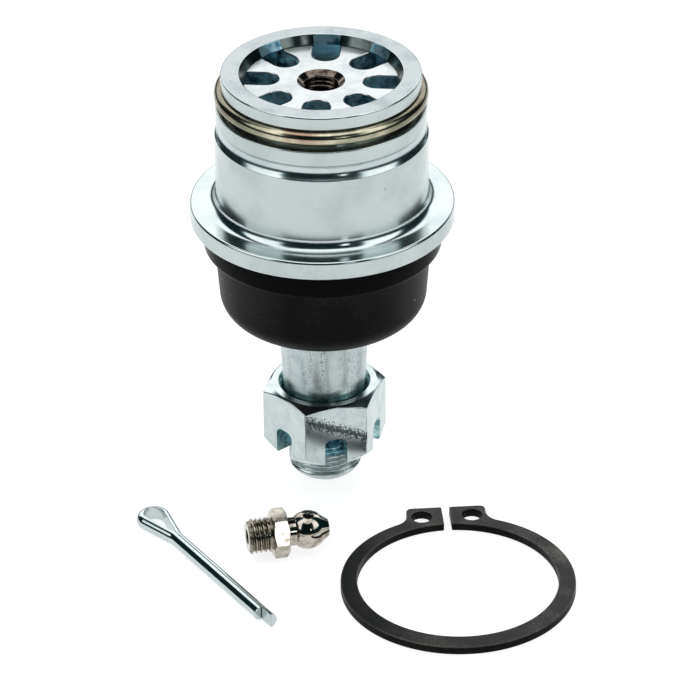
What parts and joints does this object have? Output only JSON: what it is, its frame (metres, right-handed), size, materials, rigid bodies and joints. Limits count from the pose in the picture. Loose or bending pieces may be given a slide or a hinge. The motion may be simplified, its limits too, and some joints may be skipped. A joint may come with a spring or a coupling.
{
  "type": "suspension ball joint",
  "caption": "Press-in suspension ball joint with flanged body, rubber boot and castle nut, standing on its stud beside its grease fitting, cotter pin and snap ring.",
  "frame": {"origin": "centre of the ball, on the housing's axis inside the press-fit wall", "axes": "+Z along the housing's axis out of the cover, with the stud pointing to -Z; -Y towards the loose pieces"},
  "size_m": [0.1184, 0.1263, 0.1244],
  "materials": {
    "zinc_steel": "bright clear-zinc plate, machined",
    "yellow_zinc": "yellow zinc plate, glossy",
    "spring_steel": "bare spring steel, satin",
    "sintered_iron": "sintered, matt",
    "boot_rubber": "moulded rubber, satin",
    "nickel": "nickel plate, bright",
    "black_phosphate": "black phosphate, oiled"
  },
  "bodies": {
    "housing": {"housing": "zinc_steel", "cover_plate": "zinc_steel", "lock_ring": "yellow_zinc", "preload_spring": "spring_steel", "lower_race": "sintered_iron", "boot_clamp": "spring_steel", "dust_boot": "boot_rubber"},
    "seat": {"pressure_seat": "sintered_iron"},
    "boot_end": {"boot_bush": "spring_steel"},
    "stud": {"ball_stud": "zinc_steel"},
    "nut": {"castle_nut": "zinc_steel"},
    "fitting": {"fitting_body": "nickel", "check_spring": "spring_steel"},
    "check": {"check_ball": "spring_steel"},
    "cotter": {"cotter_pin": "zinc_steel"},
    "retainer": {"snap_ring": "black_phosphate"}
  },
  "joints": [
    {"name": "seat_turn", "type": "hinge", "parent": "housing", "child": "seat", "pos_m": [0, 0, 0], "axis": [0, 0, 1], "continuous": true},
    {"name": "stud_tilt", "type": "hinge", "parent": "seat", "child": "boot_end", "pos_m": [0, 0, 0], "axis": [0, 1, 0], "range_deg": [-15, 15], "deforming": ["dust_boot"]},
    {"name": "stud_spin", "type": "hinge", "parent": "boot_end", "child": "stud", "pos_m": [0, 0, 0], "axis": [0, 0, 1], "continuous": true},
    {"name": "nut_turn", "type": "hinge", "parent": "stud", "child": "nut", "pos_m": [0, 0, -0.0747], "axis": [0, 0, -1], "continuous": true},
    {"name": "fitting_lift", "type": "slide", "parent": "housing", "child": "fitting", "axis": [0, 0, 1], "range_m": [0, 0.06]},
    {"name": "check_ball_press", "type": "slide", "parent": "fitting", "child": "check", "axis": [-0.9781, -0.2079, 0], "range_m": [0, 0.0012], "stiffness_N_per_m": 400, "deforming": ["check_spring"]},
    {"name": "pin_lift", "type": "slide", "parent": "housing", "child": "cotter", "axis": [0, 0, 1], "range_m": [0, 0.06]},
    {"name": "ring_lift", "type": "slide", "parent": "housing", "child": "retainer", "axis": [0, 0, 1], "range_m": [0, 0.06]}
  ]
}
